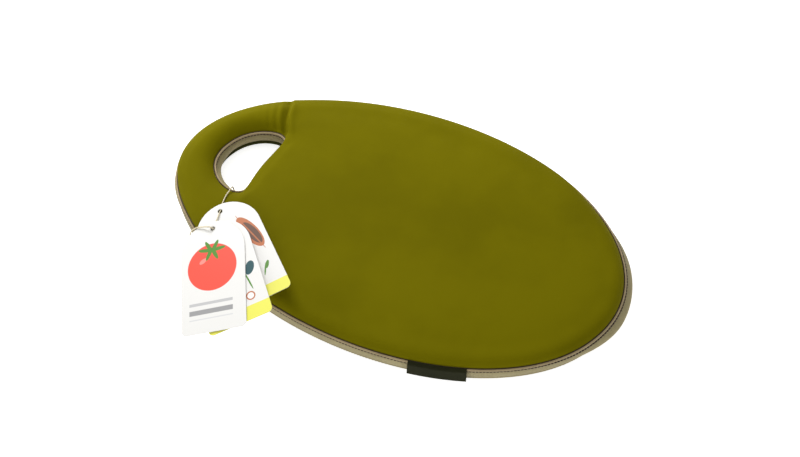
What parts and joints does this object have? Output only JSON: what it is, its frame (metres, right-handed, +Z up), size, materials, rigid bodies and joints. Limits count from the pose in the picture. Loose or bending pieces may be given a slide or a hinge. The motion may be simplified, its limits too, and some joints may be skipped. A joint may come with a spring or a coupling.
{
  "type": "kneeling pad",
  "caption": "Oval garden kneeling pad with a hand hole at one end: foam core in olive stretch covers, piped side bands, a side label and hang tags on a string.",
  "frame": {"origin": "on the ground, under the middle of the pad's outline", "axes": "+X along the pad, away from the hand hole; +Y across it, away from the side label; +Z up, out of the kneeling face"},
  "size_m": [0.4628, 0.323, 0.0506],
  "materials": {
    "neoprene_olive": "matt stretch jersey laminated on foam rubber, olive green",
    "neoprene_dark": "matt stretch jersey, dark olive",
    "gusset_taupe": "ribbed woven tape, taupe",
    "piping_taupe": "bias-cut woven tape, taupe",
    "piping_filler": "twisted cotton",
    "memory_foam": "open-cell foam",
    "firm_foam": "closed-cell foam",
    "label_black": "woven satin label, black",
    "card_white": "coated card with plain printed shapes",
    "string_cream": "twisted string, cream"
  },
  "bodies": {
    "pad": {"top_cover": "neoprene_olive", "base_cover": "neoprene_dark", "side_gusset": "gusset_taupe", "handle_gusset": "gusset_taupe", "piping_top_rim": "piping_taupe", "piping_base_rim": "piping_taupe", "piping_top_handle": "piping_taupe", "piping_base_handle": "neoprene_dark", "piping_cord_top_rim": "piping_filler", "piping_cord_base_rim": "piping_filler", "piping_cord_top_handle": "piping_filler", "piping_cord_base_handle": "piping_filler", "memory_foam": "memory_foam", "foam_core": "firm_foam", "tag_string": "string_cream", "string_knot": "string_cream"},
    "label": {"side_label": "label_black"},
    "front_tag": {"tag_front": "card_white"},
    "middle_tag": {"tag_middle": "card_white"},
    "rear_tag": {"tag_rear": "card_white"}
  },
  "joints": [
    {"name": "front_tag_swing", "type": "hinge", "parent": "pad", "child": "front_tag", "pos_m": [-0.15867, -0.07745, 0.03856], "axis": [-0.2241, -0.1294, 0.9659], "range_deg": [-3, 40]},
    {"name": "middle_tag_swing", "type": "hinge", "parent": "pad", "child": "middle_tag", "pos_m": [-0.1584, -0.0773, 0.0374], "axis": [-0.2241, -0.1294, 0.9659], "range_deg": [-15, 40]},
    {"name": "rear_tag_swing", "type": "hinge", "parent": "pad", "child": "rear_tag", "pos_m": [-0.1614, -0.056, 0.036], "axis": [-0.1429, -0.0825, 0.9863], "range_deg": [-3, 40]},
    {"name": "label_flap", "type": "hinge", "parent": "pad", "child": "label", "pos_m": [0.09259, -0.12765, 0.0222], "axis": [-0.9736, -0.2284, 0], "range_deg": [-5, 100]}
  ]
}
